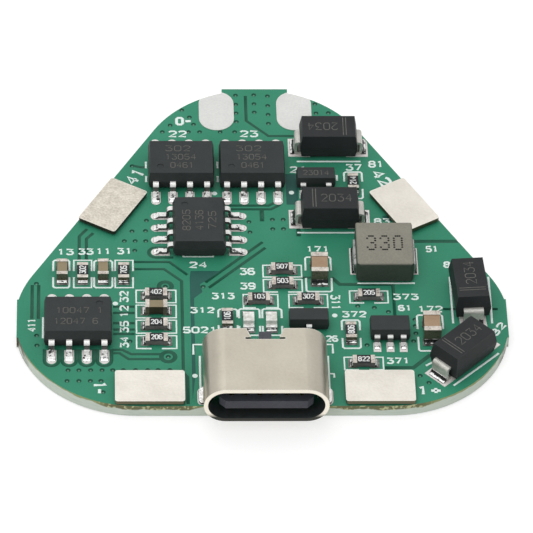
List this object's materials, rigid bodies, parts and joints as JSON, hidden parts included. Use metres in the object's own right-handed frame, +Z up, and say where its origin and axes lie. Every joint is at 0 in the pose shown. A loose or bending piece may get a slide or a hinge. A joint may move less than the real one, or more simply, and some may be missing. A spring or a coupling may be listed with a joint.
{
  "type": "battery management board",
  "caption": "Rounded triangular battery charge and protection board with edge tabs, moulded chips, a coil and a USB-C port.",
  "frame": {"origin": "on the underside of the board, at the centre of the triangle of cells", "axes": "+Z up out of the component side, +Y from the port towards the output pads, +X to the right seen from the port"},
  "size_m": [0.0358, 0.0351, 0.0042],
  "materials": {
    "board": "glass-fibre laminate with a satin green solder mask",
    "solder": "bright reflowed solder",
    "pads": "smooth tinned copper",
    "nickel": "satin nickel-plated strip",
    "tin": "matt tin-plated copper alloy",
    "epoxy": "moulded black epoxy, fine matt texture",
    "ferrite": "pressed iron-powder composite, ground top",
    "capacitor": "fired tan ceramic",
    "alumina": "white alumina",
    "resistor_glaze": "black printed glaze",
    "lamp_base": "white moulded base",
    "lamp_lens": "clear resin lens",
    "port_shell": "tinned stainless sheet, satin",
    "port_moulding": "dark moulded plastic",
    "contact_gold": "gold-flashed contacts"
  },
  "bodies": {
    "root": {"circuit_board": "board", "component_lands": "solder", "solder_joints": "solder", "output_pads": "pads", "tab_minus": "nickel", "tab_plus": "nickel", "tab_left": "nickel", "tab_right": "nickel", "tab_solder": "solder", "charger_body": "epoxy", "charger_leads": "tin", "transistor_left_body": "epoxy", "transistor_left_leads": "tin", "transistor_right_body": "epoxy", "transistor_right_leads": "tin", "protection_body": "epoxy", "protection_leads": "tin", "regulator_body": "epoxy", "regulator_leads": "tin", "switch_far_body": "epoxy", "switch_far_leads": "tin", "switch_near_body": "epoxy", "switch_near_leads": "tin", "diode_far_body": "epoxy", "diode_far_terminals": "tin", "diode_mid_body": "epoxy", "diode_mid_terminals": "tin", "diode_side_body": "epoxy", "diode_side_terminals": "tin", "diode_corner_body": "epoxy", "diode_corner_terminals": "tin", "coil_body": "ferrite", "coil_terminals": "tin", "large_capacitor_mid": "capacitor", "large_capacitor_mid_ends": "tin", "large_capacitor_side": "capacitor", "large_capacitor_side_ends": "tin", "small_capacitors": "capacitor", "small_capacitor_ends": "tin", "resistor_chips": "alumina", "resistor_coats": "resistor_glaze", "resistor_ends": "tin", "lamp_bases": "lamp_base", "lamp_lenses": "lamp_lens", "lamp_ends": "tin", "usb_shell": "port_shell", "usb_moulding": "port_moulding", "usb_contacts": "contact_gold"}
  },
  "joints": []
}
